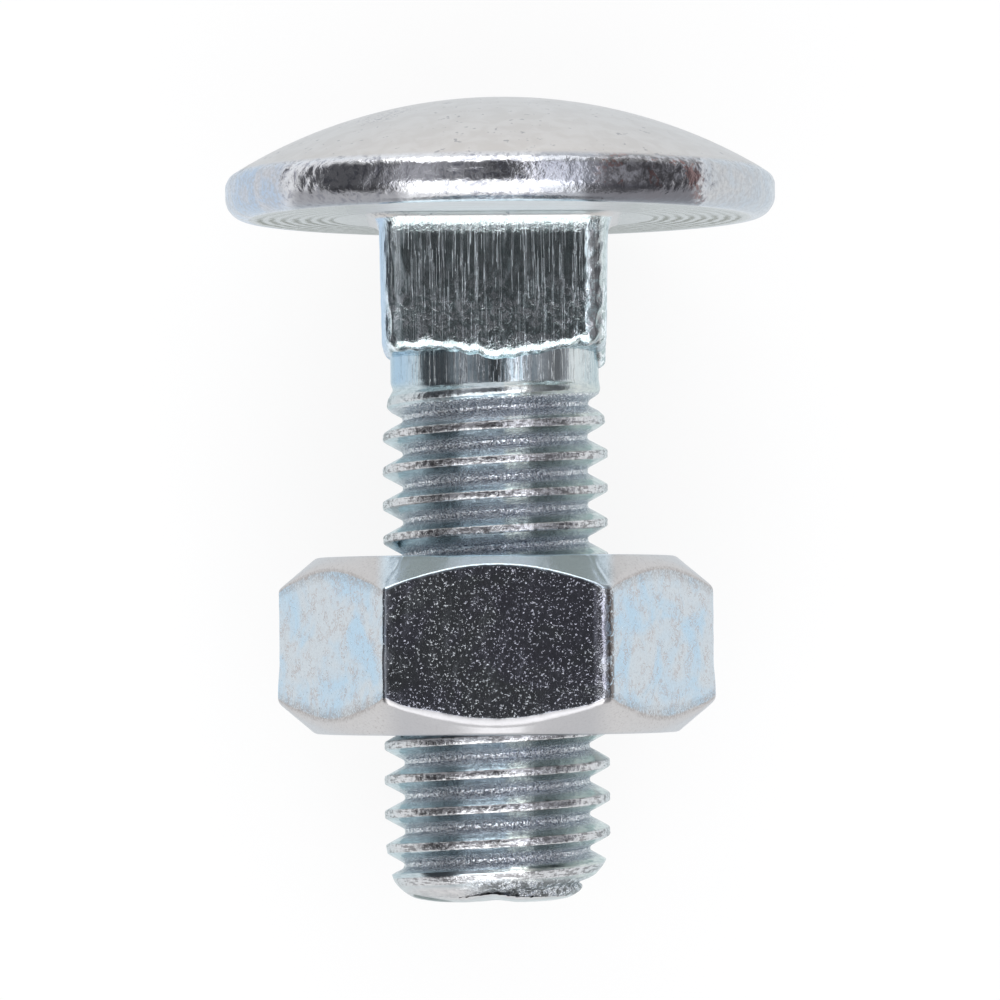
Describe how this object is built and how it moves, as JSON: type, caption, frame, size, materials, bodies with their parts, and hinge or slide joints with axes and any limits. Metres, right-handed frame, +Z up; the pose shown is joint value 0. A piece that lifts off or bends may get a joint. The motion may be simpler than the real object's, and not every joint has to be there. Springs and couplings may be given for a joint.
{
  "type": "carriage bolt with hex nut",
  "caption": "Cup-head square-neck bolt lying on its side, with a coarse rolled thread and a hex nut screwed part-way on; the nut travels along the thread.",
  "frame": {"origin": "on the surface that it lies on, under the middle of its outline", "axes": "+Z up, +Y from the thread's end towards the head; the bolt's axis is tilted 9.2 degrees about X, head end higher, because the head's rim is wider than the nut"},
  "size_m": [0.024, 0.0354, 0.0239],
  "materials": {
    "bolt_zinc": "bright zinc plating over forged and rolled steel, with a faint blue tint",
    "nut_zinc": "bright zinc plating with an orange-peel texture and a faint blue tint"
  },
  "bodies": {
    "bolt": {"bolt": "bolt_zinc"},
    "nut": {"hex_nut": "nut_zinc"}
  },
  "joints": [
    {"name": "nut_travel", "type": "slide", "parent": "bolt", "child": "nut", "axis": [0, -0.9871, -0.1599], "range_m": [-0.006, 0.0165]}
  ]
}
